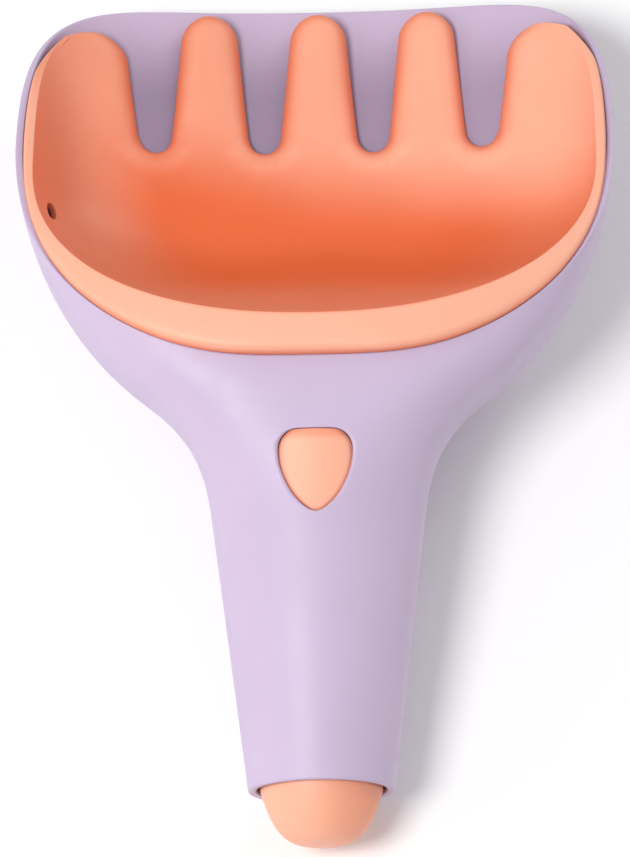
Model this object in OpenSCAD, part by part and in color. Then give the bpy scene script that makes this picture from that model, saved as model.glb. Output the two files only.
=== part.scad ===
// Sand rake nested in a matching shovel, with a press button that frees the rake.
// Every piece is drawn along the handle first: y = 0 is the open end of the sleeve,
// +y runs to the tines, z = 0 is the handle axis. place() then lays the toy on its sole.

/* [Shovel] */
// Width of the scoop over its outer walls
scoop_w = 144.8; // [132:0.2:160]
// Depth of the scoop below the handle axis
scoop_depth = 44; // [40:0.5:52]
// Further fall of the floor from the widest station to the front lip
floor_fall = 2; // [0.5:0.1:4]
// Height of the blunt front lip
lip_h = 1.2; // [0.6:0.1:1.8]
// Straight sleeve, from its open end to the neck
sleeve_len = 65.5; // [62:0.5:80]
// Length of the curved neck between sleeve and scoop
neck_len = 30; // [24:0.5:36]
// From the end of the neck to the widest station
shoulder_len = 66; // [62:0.5:72]
// How much longer the half-axis of the rounded back is than the shoulder
back_over = 14.5; // [12:0.5:24]
// Straight trough from the widest station to the front lip
trough_len = 44.6; // [42:0.2:54]
// Width of the sleeve at its open end
sleeve_end_w = 34.4; // [34:0.2:38]
// Height of the sleeve at its open end
sleeve_end_h = 34; // [33.6:0.2:38]
// Width of the sleeve where the neck starts
sleeve_root_w = 50.6; // [48:0.2:54]
// Height of the lower half of the sleeve where the neck starts
sleeve_root_drop = 19.4; // [19:0.1:21]
// From the end of the neck forward to the back of the rim
heel_back = 5; // [2:0.5:8]
// Height of the back of the rim above the handle axis
heel_h = 22.5; // [21.5:0.1:25]
// Wall of the shovel
wall = 2; // [1.6:0.1:2.2]

/* [Rake head] */
// At each side, from the outside of the shovel to the inside of the bowl
side_room = 5.4; // [5.2:0.1:8]
// From the underside of the shovel to the floor of the bowl
floor_room = 7; // [6:0.5:10]
// From the back of the shovel's rim forward to the crest of the rake's heel
crest_back = 9; // [7:0.5:12]
// From the shovel's widest station back to where the bowl's sides run straight
side_back = 8; // [4:0.5:12]
// Height of the crest over the shovel's rim
crest_lift = 7; // [4:0.5:9]
// Height of the rake's rim over the shovel's rim along the sides
rim_lift = 1.5; // [1.2:0.1:3]
// Height of the rolled edge that lies on the shovel's rim
edge_h = 1.4; // [0.8:0.1:1.4]
// Wall of the rake's bowl
rake_wall = 1.8; // [1.4:0.1:2]
// Drain hole in one side of the bowl
drain_d = 5; // [3:0.1:6]
// From the crest forward to the drain hole
drain_y = 37; // [30:0.5:40]
// Depth of the drain hole below the handle axis
drain_z = 17; // [10:0.5:18]

/* [Tines] */
// Length of the slots between the tines
slot_len = 35.5; // [28:0.5:40]
// Width of a slot at its round end
slot_root_w = 7.7; // [6:0.1:9]
// Radius of the round tips
tip_r = 7.1; // [6:0.1:8]
// From the front lip back to the tips
tip_back = 2.1; // [1:0.1:6]
// How far a tine's middle stands over the floor between the tines
tine_crown = 4; // [1:0.1:4.5]

/* [Stem and tip] */
// From the open end of the sleeve forward to the end face of the stem
stem_recess = 3; // [2:0.5:6]
// From the end face of the stem to its seat on the head
stem_len = 86.5; // [84:0.5:90]
// Spigot at the front of the stem
spigot_d = 24; // [20:0.2:26]
// Length of the spigot
spigot_len = 14; // [8:0.5:16]
// Wall of the socket on the back of the head
socket_wall = 2; // [1.6:0.1:3]
// Wall of the stem around the plug of the tip
plug_wall = 4.2; // [3:0.1:5]
// Thinnest wall of the stem at its front
stem_wall = 1.8; // [1.4:0.1:4]
// Wall that closes the front of the hollow
stem_front_wall = 3; // [2:0.1:5]
// Gap between the tip and the inside of the sleeve
tip_gap = 0.6; // [0.4:0.1:2]
// How far the tip stands out of the sleeve
tip_len = 12.6; // [9:0.1:18]
// Length of the plug of the tip inside the stem
tip_plug_len = 12; // [8:0.5:14]

/* [Latch] */
// Width of the button's window
window_w = 17.9; // [15:0.1:19]
// Length of the button's window
window_len = 19.9; // [17:0.1:22]
// From the open end of the sleeve to the broad end of the window
window_y = 82.8; // [80:0.1:84]
// From the broad end of the window back to the hinge of the tongue
tongue_len = 44.8; // [40:0.2:48]
// Width of the tongue
tongue_w = 12; // [9:0.2:13]
// Thickness of the tongue
tongue_t = 2.2; // [1.6:0.1:2.6]
// Diameter of the knuckle at the root of the tongue
knuckle_d = 2.2; // [1.6:0.1:2.4]
// Depth of the knuckle below the top of the stem
knuckle_drop = 2.5; // [2.2:0.1:3]
// How far the button's point lies below its broad end
button_dip = 2.6; // [1:0.1:3.2]
// Radius of the button's crowned top across the handle
crown_r = 30; // [24:1:60]

/* [Fits] */
// Gap between the rake and the inside of the shovel
slide_gap = 0.4; // [0.3:0.05:0.6]
// Gap around the button and the tongue
latch_gap = 0.5; // [0.4:0.05:0.7]
// Gap of spigots and knuckles in their seats
seat_gap = 0.1; // [0.05:0.01:0.15]
// Depth of the flats that the toy rests on
sole_cut = 0.7; // [0.4:0.1:1]

/* [Hidden] */

lilac = "#d9c7e2";
coral = "#fb9b78";

// Overrun of every cut past the faces it goes through
over = 4;
// Step used to read a slope
probe = 0.5;
// Facets round a section, and of true rounds
facets = 44;
$fn = 64;

// Squareness of the sections: sleeve, top of the scoop, bottom of the scoop
sleeve_power_share = 2;
top_power_share = 3.6;
bottom_power_share = 2.55;
// Fall of the shovel's rim towards the lip
rim_power_share = 0.54;
// Plan of the rake's bowl, and its wall at the sides and at the heel
plan_power_share = 2.2;
side_power_share = 3.1;
heel_power_share = 1.3;
heel_round_share = 1.1;
// Part of the plan, about its middle, over which heel and sides blend into the floor
floor_share = 0.06;
// How far the floor's arches between the tines fade towards the sides
arch_fade_share = 0.5;
// Spacing of the tines in the width of the bowl
pitch_share = 0.2015;
// Roundness of the tip
tip_power_share = 0.26;
// Button: rounds of its corners, its point and its belly in its width, and the belly's place in its length
corner_share = 0.267;
point_share = 0.16;
belly_share = 0.453;
belly_back_share = 0.432;
// Crowding of the shovel's stations towards the widest one
crowd_share = 1.3;
// Stations of the bowl along a slot, and the front end of the rolled rim
tine_shares = [-0.25, 0, 0.3333];
rim_end_share = 0.75;

// Places along the handle
neck_y = sleeve_len;
scoop_back_y = neck_y + neck_len;
heel_y = scoop_back_y + heel_back;
scoop_y = scoop_back_y + shoulder_len;
front_y = scoop_y + trough_len;
crest_y = heel_y + crest_back;
bowl_y = scoop_y - side_back;
tip_y = front_y - tip_back;
slot_y = tip_y - slot_len;
seat_y = stem_recess + stem_len;
hinge_y = window_y - tongue_len;
rim_side_y = (bowl_y + scoop_y) / 2;

// Sizes that follow from others
back_len = shoulder_len + back_over;
heel_len = bowl_y - crest_y;
bowl_w = scoop_w - 2 * side_room;
bowl_depth = scoop_depth - floor_room;
tine_pitch = bowl_w * pitch_share;
tip_d = min(sleeve_end_w, sleeve_end_h) - 2 * (wall + tip_gap);
lip_z = lip_h - scoop_depth - floor_fall;
high_z = heel_h + crest_lift + over;

// Lie of the toy: the plane under the sleeve's end that is tangent to the round of the scoop
touch_u = [-scoop_y / back_len, -sleeve_end_h / 2 / scoop_depth];
touch_a = atan2(touch_u.y, touch_u.x) + 360 + acos(1 / norm(touch_u));
touch_z = scoop_depth * sin(touch_a);
touch_y = scoop_y + back_len * cos(touch_a);
lie = atan2(-sleeve_end_h / 2 - touch_z, touch_y);
ground = touch_y * sin(lie) + touch_z * cos(lie) + sole_cut;
tip_steps = 14;
tip_profile = [for (i = [0:tip_steps]) let (u = sin(90 * i / tip_steps))
    [tip_d / 2 * pow(1 - u, tip_power_share), -tip_len * u]];
reach_back = min([for (p = tip_profile) p.y * cos(lie) - p.x * sin(lie)]);
reach_front = front_y * cos(lie) - (lip_z - lip_h) * sin(lie);
mid_y = (reach_back + reach_front) / 2;

function clamp01(t) = max(0, min(1, t));
function smooth(t) = let (c = clamp01(t)) c * c * (3 - 2 * c);
function ellipse_at(y) = sqrt(1 - pow(clamp01((scoop_y - y) / back_len), 2));

// Straight taper, cubic neck and elliptic back, joined with equal slopes
function neck_curve(y, end, root, full) =
    let (slope0 = (root - end) / neck_y,
         u1 = shoulder_len / back_len,
         c1 = sqrt(1 - u1 * u1),
         t = clamp01((y - neck_y) / neck_len),
         cubic = (2 * t * t * t - 3 * t * t + 1) * root
               + (t * t * t - 2 * t * t + t) * neck_len * slope0
               + (3 * t * t - 2 * t * t * t) * full * c1
               + (t * t * t - t * t) * neck_len * full * u1 / (back_len * c1))
    y < neck_y ? end + slope0 * y : y < scoop_back_y ? cubic : full * ellipse_at(y);

function half_w(y) = neck_curve(y, sleeve_end_w / 2, sleeve_root_w / 2, scoop_w / 2);
function half_top(y) = sleeve_end_h / 2 + (heel_h - sleeve_end_h / 2) * y / heel_y;
function half_low(y) = neck_curve(y, sleeve_end_h / 2, sleeve_root_drop, scoop_depth)
    + floor_fall * clamp01((y - scoop_y) / trough_len);
function power_at(y, full) =
    sleeve_power_share + (full - sleeve_power_share) * smooth((y - neck_y) / (heel_y - neck_y));
function lean_w(y) = norm([1, (half_w(y + probe) - half_w(y - probe)) / (2 * probe)]);
function lean_low(y) = norm([1, (half_low(y + probe) - half_low(y - probe)) / (2 * probe)]);

// Height of the shovel's rim, and half-width of its outer wall at a height
function rim_z(y) = lip_z
    + (heel_h - lip_z) * pow(1 - clamp01((y - heel_y) / (front_y - heel_y)), rim_power_share);
function shovel_x(y, z) =
    let (n = power_at(y, z > 0 ? top_power_share : bottom_power_share),
         h = z > 0 ? half_top(y) : half_low(y))
    half_w(y) * pow(clamp01(1 - pow(abs(z) / h, n)), 1 / n);

// One ring of the shovel's body, drawn in by a wall
function shovel_ring(y, inset) =
    let (w = half_w(y) - inset * lean_w(y),
         up = half_top(y) - inset,
         down = half_low(y) - inset * lean_low(y))
    [for (i = [0:facets - 1])
        let (a = 360 * i / facets,
             c = cos(a),
             s = sin(a),
             n = power_at(y, s > 0 ? top_power_share : bottom_power_share))
        [w * sign(c) * pow(abs(c), 2 / n), y, (s > 0 ? up : down) * sign(s) * pow(abs(s), 2 / n)]];

// Stations of the shovel's body, closer together where it bends
neck_steps = 6;
back_steps = 10;
function shovel_stations(start, end) = concat(
    [start, neck_y / 2],
    [for (i = [0:neck_steps - 1]) neck_y + neck_len * i / neck_steps],
    [for (i = [0:back_steps]) scoop_y - shoulder_len * pow(1 - i / back_steps, crowd_share)],
    [scoop_y + trough_len / 2, end]);

// Closed solid over rings of equal length, each ring on one station
module loft(rings) {
    n = len(rings[0]);
    last = len(rings) - 1;
    sides = [for (j = [0:last - 1], i = [0:n - 1])
        let (a = j * n + i, b = j * n + (i + 1) % n)
        each [[a, b, b + n], [a, b + n, a + n]]];
    ends = [[for (i = [0:n - 1]) n - 1 - i], [for (i = [0:n - 1]) last * n + i]];
    polyhedron(points = [for (ring = rings) each ring], faces = concat(sides, ends));
}

// Lays what is drawn along the handle on the ground, over the middle of the toy
module place() {
    translate([0, -mid_y, -ground]) rotate([lie, 0, 0]) children();
}

// Prism across the handle from an outline in (y, z)
module across(width) {
    rotate([90, 0, 90]) translate([0, 0, -width / 2]) linear_extrude(width) children();
}

// Round bar along the handle
module along(d, y0, y1) {
    translate([0, y0, 0]) rotate([-90, 0, 0]) cylinder(d = d, h = y1 - y0);
}

// All that lies over a height curve, given from back to front as (y, z)
rim_steps = 30;
function rim_stations(start) =
    [for (i = [0:rim_steps]) front_y - (front_y - start) * pow(1 - i / rim_steps, 2)];
module above(curve) {
    first = curve[0];
    last = curve[len(curve) - 1];
    across(scoop_w + 2 * over) polygon(concat(curve,
        [[last.x + over, last.y], [last.x + over, high_z + 2 * over], [first.x, high_z + 2 * over]]));
}

// Outline of the button, broad end at +y, drawn out by a margin
module pick(grow) {
    corner = window_w * corner_share;
    point = window_w * point_share;
    hull() {
        for (s = [-1, 1])
            translate([s * (window_w / 2 - corner), window_y - corner]) circle(corner + grow, $fn = 32);
        translate([0, window_y - window_len * belly_back_share])
            circle(window_w * belly_share + grow, $fn = 32);
        translate([0, window_y - window_len + point]) circle(point + grow, $fn = 32);
    }
}

// Moulded shovel: trough, neck and hollow sleeve, open at both ends
module shovel() {
    color(lilac) difference() {
        place() difference() {
            loft([for (y = shovel_stations(0, front_y)) shovel_ring(y, 0)]);
            loft([for (y = shovel_stations(-over, front_y + over)) shovel_ring(y, wall)]);
            above([for (y = rim_stations(heel_y)) [y, rim_z(y)]]);
            linear_extrude(high_z) pick(0);
        }
        translate([-scoop_w, -front_y, -scoop_depth]) cube([2 * scoop_w, 2 * front_y, scoop_depth]);
    }
}

// Height of the rake's rim, and of its bowl at a place of the plan
function crest_share(y, grow) = clamp01((bowl_y - y) / (heel_len + grow));
function rake_rim_z(y) = rim_z(y) + rim_lift
    + (crest_lift - rim_lift) * pow(crest_share(y, 0), plan_power_share);
function bowl_half(y, grow) = (bowl_w / 2 + grow)
    * pow(1 - pow(crest_share(y, grow), plan_power_share), 1 / plan_power_share);
function tine_arch(x, y) = abs(x) > 2 * tine_pitch ? 0
    : tine_crown * smooth((y - slot_y + slot_len / 2) / slot_len) * (1 - cos(360 * x / tine_pitch)) / 2
        * (1 - arch_fade_share * smooth(abs(x) / tine_pitch - 1));
function bowl_z(x, y, grow) =
    let (back = pow(crest_share(y, grow), plan_power_share),
         side = pow(abs(x) / (bowl_w / 2 + grow), plan_power_share),
         reach = min(1, back + side),
         turn = back / (back + side + floor_share * (1 - reach)),
         r = pow(reach, 1 / plan_power_share),
         a = side_power_share + (heel_power_share - side_power_share) * turn,
         b = 1 / side_power_share + (heel_round_share - 1 / side_power_share) * turn,
         top = rake_rim_z(min(y, bowl_y)))
    top - (top + bowl_depth + grow) * pow(max(0, 1 - pow(r, a)), b) - tine_arch(x, y);

// One section across the bowl, closed over its top
bowl_facets = 44;
function bowl_ring(y, grow, top) =
    let (w = bowl_half(y, grow))
    concat([[0, y, top], [-w, y, top]],
        [for (i = [0:bowl_facets]) let (x = w * sin(180 * i / bowl_facets - 90)) [x, y, bowl_z(x, y, grow)]],
        [[w, y, top]]);

// Solid of the bowl: the hollow itself, or its outer form drawn out by the wall
heel_steps = 9;
heel_start_a = 9;
module bowl(grow, end, top) {
    stations = concat(
        [for (i = [0:heel_steps])
            let (a = heel_start_a + (90 - heel_start_a) * i / heel_steps)
            bowl_y - (heel_len + grow) * pow(cos(a), 2 / plan_power_share)],
        [for (t = tine_shares) slot_y + slot_len * t],
        [end]);
    loft([for (y = stations) bowl_ring(y, grow, top)]);
}

// Rolled rim of the rake: from the outer edge of the shovel's rim over the crest
function drawn_in(p, by) =
    let (v = [p.x, p.y - rim_side_y])
    [0, rim_side_y] + v * (1 - by / norm(v));
function rim_section(a) =
    let (s = sign(a),
         t = min(1, abs(a)),
         past = max(0, abs(a) - 1),
         c = pow(cos(90 * t), 2 / plan_power_share),
         end_y = slot_y + slot_len * rim_end_share,
         y_out = past > 0
            ? rim_side_y + past * (end_y - rim_side_y)
            : rim_side_y - (rim_side_y - heel_y) * c,
         y_in = past > 0 ? bowl_y + past * (end_y - bowl_y) : bowl_y - heel_len * c,
         z_in = rake_rim_z(y_in),
         top = rake_rim_z(bowl_y),
         x_in = past > 0
            ? bowl_w / 2 * pow(1 - pow(clamp01((top - z_in) / (top + bowl_depth)), side_power_share),
                1 / side_power_share)
            : bowl_half(y_in, 0),
         inset = seat_gap + (wall + slide_gap) * t * t,
         edge = [shovel_x(y_out, rim_z(y_out)), y_out],
         p0 = past > 0 ? edge - [inset, 0] : drawn_in(edge, inset),
         p1 = past > 0 ? p0 - [edge_h, 0] : drawn_in(p0, edge_h),
         p3 = past > 0 ? [x_in + rake_wall / 2, y_in] : drawn_in([x_in, y_in], -rake_wall / 2))
    [[s * p0.x, p0.y, rim_z(p0.y) + slide_gap],
     [s * p0.x, p0.y, rim_z(p0.y) + slide_gap + edge_h / 2],
     [s * p1.x, p1.y, rim_z(p0.y) + slide_gap + edge_h],
     [s * x_in, y_in, z_in],
     [s * p3.x, p3.y, rim_z(p3.y) + slide_gap]];
rim_sections = 26;
module rolled_rim() {
    loft([for (i = [-rim_sections:rim_sections]) rim_section(2 * i / rim_sections)]);
}

// Outline of what the comb leaves open: slots with round ends that widen between round tips
arc_steps = 8;
function arc(mid, r, a0, a1, first) =
    [for (i = [first:arc_steps])
        let (a = a0 + (a1 - a0) * i / arc_steps)
        mid + r * [cos(a), sin(a)]];
function comb_gaps() =
    let (root = slot_root_w / 2,
         ahead = slot_len - tip_r - root,
         slant = acos((root + tip_r) / norm([tine_pitch / 2, ahead])) - atan2(ahead, tine_pitch / 2))
    concat(
        [[-scoop_w / 2, front_y + over], [-scoop_w / 2, tip_y], [-2 * tine_pitch, tip_y]],
        [for (k = [-1.5:1:1.5]) each concat(
            arc([(k - 0.5) * tine_pitch, tip_y - tip_r], tip_r, 90, slant, 1),
            arc([k * tine_pitch, slot_y + root], root, 180 + slant, 360 - slant, 0),
            arc([(k + 0.5) * tine_pitch, tip_y - tip_r], tip_r, 180 - slant, 90, 0))],
        [[scoop_w / 2, tip_y], [scoop_w / 2, front_y + over]]);

// Rake head: thin bowl with five tines, rolled rim and the socket for its stem
module rake_head() {
    socket_d = spigot_d + 2 * seat_gap + 2 * socket_wall;
    color(coral) place() difference() {
        union() {
            difference() {
                bowl(rake_wall, tip_y + over / 2, high_z);
                above([for (y = rim_stations(heel_y)) [y, rake_rim_z(y)]]);
            }
            rolled_rim();
            along(socket_d, seat_y, bowl_y);
        }
        bowl(0, front_y + over, high_z + over);
        along(spigot_d + 2 * seat_gap, seat_y - over, seat_y + spigot_len + over);
        translate([0, 0, -scoop_w / 2]) linear_extrude(scoop_w) polygon(comb_gaps());
        translate([-bowl_w / 2, crest_y + drain_y, -drain_z]) rotate([0, 90, 0])
            cylinder(d = drain_d, h = bowl_w / 4, center = true);
    }
}

// Sections of the stem: the sleeve's taper carried on straight, drawn in by wall and gap,
// and no deeper than the neck lets pass
function low_ahead(y) =
    min([for (i = [0:neck_steps]) half_low(y + (scoop_back_y - y) * i / neck_steps)]);
function stem_low(y) =
    let (back = min(y, neck_y - probe))
    low_ahead(back) - (wall + slide_gap) * lean_low(back);
function stem_top(y) = half_top(y) - wall - slide_gap;
function stem_ring(y) =
    let (slope = (sleeve_root_w - sleeve_end_w) / 2 / neck_y,
         w = sleeve_end_w / 2 + slope * y - (wall + slide_gap) * norm([1, slope]),
         up = stem_top(y),
         down = stem_low(y))
    [for (i = [0:facets - 1])
        let (a = 360 * i / facets)
        [w * cos(a), y, (sin(a) > 0 ? up : down) * sin(a)]];

stem_bore = 2 * (stem_low(stem_recess) - plug_wall);
stem_hollow = 2 * (stem_low(seat_y) - stem_wall);
knuckle_z = stem_top(hinge_y) - knuckle_drop;

// Hollow stem that fills the sleeve, slotted on top for the latch
module rake_stem() {
    slot_w = window_w + 2 * latch_gap;
    bore_end = stem_recess + tip_plug_len + seat_gap;
    hollow_end = seat_y - stem_front_wall;
    color(coral) place() difference() {
        union() {
            loft([for (y = [stem_recess, neck_y, seat_y]) stem_ring(y)]);
            along(spigot_d, hollow_end, seat_y + spigot_len);
        }
        along(stem_bore, stem_recess - over, bore_end);
        translate([0, bore_end, 0]) rotate([-90, 0, 0])
            cylinder(d1 = stem_bore, d2 = stem_hollow, h = hollow_end - bore_end);
        along(spigot_d - 2 * stem_front_wall, hollow_end - over, seat_y + spigot_len + over);
        translate([-tongue_w / 2 - latch_gap, hinge_y, knuckle_z - knuckle_d])
            cube([tongue_w + 2 * latch_gap, tongue_len, heel_h]);
        translate([-slot_w / 2, window_y - window_len - 2 * latch_gap, knuckle_z - 2 * tongue_t])
            cube([slot_w, window_len + 4 * latch_gap, heel_h]);
        translate([0, hinge_y, knuckle_z]) rotate([0, 90, 0])
            cylinder(d = knuckle_d + 2 * seat_gap, h = tongue_w + 2 * latch_gap, center = true);
    }
}

// Domed tip that closes the stem and stands out of the sleeve
module stem_tip() {
    plug = stem_bore / 2 - seat_gap;
    color(coral) place() rotate([90, 0, 0]) rotate_extrude() polygon(concat(
        [for (p = tip_profile) [p.x, -p.y]],
        [[0, -stem_recess - tip_plug_len], [plug, -stem_recess - tip_plug_len],
         [plug, -stem_recess], [tip_d / 2, -stem_recess]]));
}

// Button on a sprung tongue: pick-shaped boss in the window, arm and knuckle under the sleeve
module latch_button() {
    top_z = half_top(window_y);
    pad_z = stem_top(window_y) - tongue_t / 2;
    pad_y = window_y - window_len - latch_gap;
    dip_a = atan2(button_dip, window_len);
    rise = (pad_z - knuckle_z) / tongue_len;
    color(coral) place() {
        intersection() {
            translate([0, 0, pad_z - tongue_t]) linear_extrude(heel_h) pick(-latch_gap);
            translate([0, window_y, top_z]) rotate([-90 + dip_a, 0, 0])
                translate([0, crown_r, -window_len - over])
                    cylinder(r = crown_r, h = window_len + 2 * over, $fn = 128);
        }
        across(tongue_w) polygon([
            [hinge_y, knuckle_z - tongue_t / 2], [window_y - latch_gap, pad_z - tongue_t],
            [window_y - latch_gap, pad_z], [hinge_y, knuckle_z + tongue_t / 2 - seat_gap]]);
        across(window_w - 2 * latch_gap) polygon([
            [pad_y, pad_z - tongue_t - rise * (window_y - pad_y)], [window_y - latch_gap, pad_z - tongue_t],
            [window_y - latch_gap, pad_z], [pad_y, pad_z - rise * (window_y - pad_y)]]);
        translate([0, hinge_y, knuckle_z]) rotate([0, 90, 0])
            cylinder(d = knuckle_d, h = tongue_w, center = true);
    }
}

shovel();
rake_head();
rake_stem();
stem_tip();
latch_button();
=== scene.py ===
"""Looks of a toy sand rake that lies in a matching shovel.

Shapes are worked out in millimetres along the handle: y = 0 is the open end of the sleeve, +y runs to
the tines and z = 0 is the handle axis. lay() puts them on the ground, in metres, where the CAD part lies.
"""

import math
from types import SimpleNamespace

import bpy
import numpy as np
from mathutils import Matrix, Vector


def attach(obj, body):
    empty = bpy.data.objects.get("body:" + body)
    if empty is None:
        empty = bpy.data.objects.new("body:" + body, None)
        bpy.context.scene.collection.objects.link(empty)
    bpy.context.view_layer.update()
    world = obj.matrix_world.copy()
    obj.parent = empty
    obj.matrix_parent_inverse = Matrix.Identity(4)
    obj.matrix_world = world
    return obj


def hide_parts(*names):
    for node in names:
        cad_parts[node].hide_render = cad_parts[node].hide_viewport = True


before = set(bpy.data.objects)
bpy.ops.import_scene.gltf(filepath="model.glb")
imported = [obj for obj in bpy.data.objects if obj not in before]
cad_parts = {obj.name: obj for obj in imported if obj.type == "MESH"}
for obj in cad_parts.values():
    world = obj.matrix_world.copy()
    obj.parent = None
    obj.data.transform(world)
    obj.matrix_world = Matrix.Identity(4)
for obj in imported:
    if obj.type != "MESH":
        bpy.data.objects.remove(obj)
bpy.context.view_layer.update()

bl_info = {
    "name": "Sand rake in a shovel",
    "version": (1, 0, 0),
    "blender": (4, 5, 0),
    "location": "View3D > Sidebar > Sand rake",
    "description": "Builds the moulded pieces of a nested sand rake and shovel, and a studio around them",
    "category": "Add Mesh",
}

MM = 0.001

# The photograph's frame, the pixel that the camera's aim falls on, and the size of a pixel at the handle
PHOTO_SIZE = (630, 857)
PHOTO_AIM = (317.5, 430)
PIXEL = 0.238 * MM

# The camera: metres from its aim, the aim's station on the handle axis, and its angles to the handle
CAMERA_FAR = 1.4
CAMERA_AIM_Y = 87.5
CAMERA_TILT, CAMERA_LEAN, CAMERA_ROLL = math.radians(14), math.radians(1.7), math.radians(0.66)

# The lamps, all turned to LAMP_AIM: name, place and diameter in metres, watts
LAMPS = (
    ("key_light", (-0.5, -0.42, 1.17), 0.5, 10.5),
    ("left_fill", (-1.1, -0.2, 0.5), 0.7, 2.4),
    ("right_fill", (0.85, 0.75, 0.6), 0.7, 4.0),
)
LAMP_AIM = (0, 0.02, 0.03)
SKY_STRENGTH = 0.42
FLOOR_WHITE = 0.98
FLOOR_HALF = 4.0

# Levels of subdivision of every piece
SMOOTH_LEVELS = 1

# Vertices around sleeve and stem, and stations of the sleeve's rings where the heel lies at RINGS_HEEL
AROUND = 128
SLEEVE_RINGS = (0, 0.5, 1.4, 3, 7, 12, 17, 22, 27, 32, 37, 42, 47, 51, 54.5, 58, 60, 62, 64, 66, 68, 70, 72,
                74, 76, 78, 80, 82, 84, 86, 89)
RINGS_HEEL = 100.5
SCOOP_RINGS = 35

# Columns to each side of the top line that are left out for the window of the sleeve and of the stem
WINDOW_COLUMNS, LATCH_COLUMNS = 11, 13

# Steps of the bowl's grid: across a slot's end and a tine, along the floor, up the wall and along a tine
SLOT_STEPS, TINE_STEPS, SIDE_STEPS, WALL_STEPS, FINGER_STEPS = 10, 14, 22, 13, 14

# Half angle of the floor's edge at the heel, and the share of the bowl's plan where the heel starts to rise
HEEL_TURN = math.radians(52)
HEEL_FOOT = 0.66

# Power of the outer half of an outer tine's tip, for cosine and sine
OUTER_TIP_POWER = 4 / 3

# Painted shade of the bowl's left and right half: how far the front of the shaded floor leans, and how much
# painted shade is lifted off the walls, which keeps them pale
SHADE_LEAN = (0.22, 0.1)
WALL_SHADE_LIFT = (0.8, 0.2)

# Marks across the band, from its crest to its rolled edge: painted shade, darkest on the rolled edge, and
# wear
BAND_SHADE = (0, 0, 0, 0, 0, 0.12, 0.55, 0.9, 1.0)
BAND_WORN = (0.3, 0, 0, 0.2, 0.6, 1.0, 0.6, 0.2, 0.0)

# The band runs out over this way towards the tips of the outer tines
BAND_TAPER = 14

STEM_WALL = 2.0
STEM_EDGE = 1.0

# The button: place of its middle in its length, half degrees over which its outline is bowed, and its rings
# from the middle as share of the outline, step outwards and step down
BUTTON_MIDDLE = 0.45
BUTTON_BOW = 36
BUTTON_RINGS = (
    *((f, 0.0, 0.0) for f in (0.03, 0.15, 0.3, 0.45, 0.6, 0.75, 0.86)),
    (1.0, -0.75, 0.0), (1.0, -0.35, 0.08), (1.0, -0.12, 0.25), (1.0, 0.0, 0.45), (1.0, 0.12, 0.58),
    (1.0, 0.36, 0.62), (1.0, 0.38, 0.8), (1.0, 0.38, 1.6), (1.0, 0.38, 3.0), (1.0, 0.38, 4.4),
)


def length(label, text, millimetres):
    """A size that a user may change, kept in metres."""
    return bpy.props.FloatProperty(name=label, description=text, default=millimetres * MM, unit="LENGTH",
                                   precision=5)


def share(label, text, value):
    """A plain number, such as the power of a curve."""
    return bpy.props.FloatProperty(name=label, description=text, default=value, precision=4)


def colour(label, text, value):
    """A colour of the plastic, as linear red, green and blue."""
    return bpy.props.FloatVectorProperty(name=label, description=text, default=value, subtype="COLOR", size=3,
                                         min=0.0, max=1.0)


class ShovelSizes(bpy.types.PropertyGroup):
    """Sizes of the shovel."""

    scoop_w: length("Scoop width", "Width of the scoop over its outer walls", 144.61)
    scoop_depth: length("Scoop depth", "Depth of the scoop below the handle axis", 44)
    floor_fall: length("Floor fall", "Further fall of the floor to the front lip", 2)
    lip_h: length("Lip height", "Height of the blunt front lip", 1.2)
    sleeve_len: length("Sleeve length", "Straight sleeve, from its open end to the neck", 65.5)
    neck_len: length("Neck length", "Curved neck between sleeve and scoop", 30)
    shoulder_len: length("Shoulder length", "From the end of the neck to the widest station", 66)
    back_over: length("Back overlength", "How much longer the back's half-axis is than the shoulder", 14.5)
    trough_len: length("Trough length", "From the widest station to the front lip", 44.6)
    sleeve_end_w: length("Sleeve end width", "Width of the sleeve at its open end", 34.4)
    sleeve_end_h: length("Sleeve end height", "Height of the sleeve at its open end", 34)
    sleeve_root_w: length("Sleeve root width", "Width of the sleeve where the neck starts", 50.6)
    sleeve_root_drop: length("Sleeve root drop", "Lower half of the sleeve where the neck starts", 19.4)
    heel_back: length("Heel back", "From the end of the neck to the back of the rim", 5)
    heel_h: length("Heel height", "Back of the rim above the handle axis", 22.5)
    wall: length("Wall", "Wall of the shovel", 2)
    sole_cut: length("Sole cut", "Depth of the flats that the toy rests on", 0.7)
    window_w: length("Window width", "Width of the button's window", 17.9)
    window_len: length("Window length", "Length of the button's window", 19.9)
    window_y: length("Window place", "From the sleeve's end to the broad end of the window", 82.8)
    top_power: share("Top power", "Squareness of the top of the scoop", 3.6)
    bottom_power: share("Bottom power", "Squareness of the bottom of the scoop", 2.55)
    rim_power: share("Rim power", "Fall of the rim towards the lip", 0.54)


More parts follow.
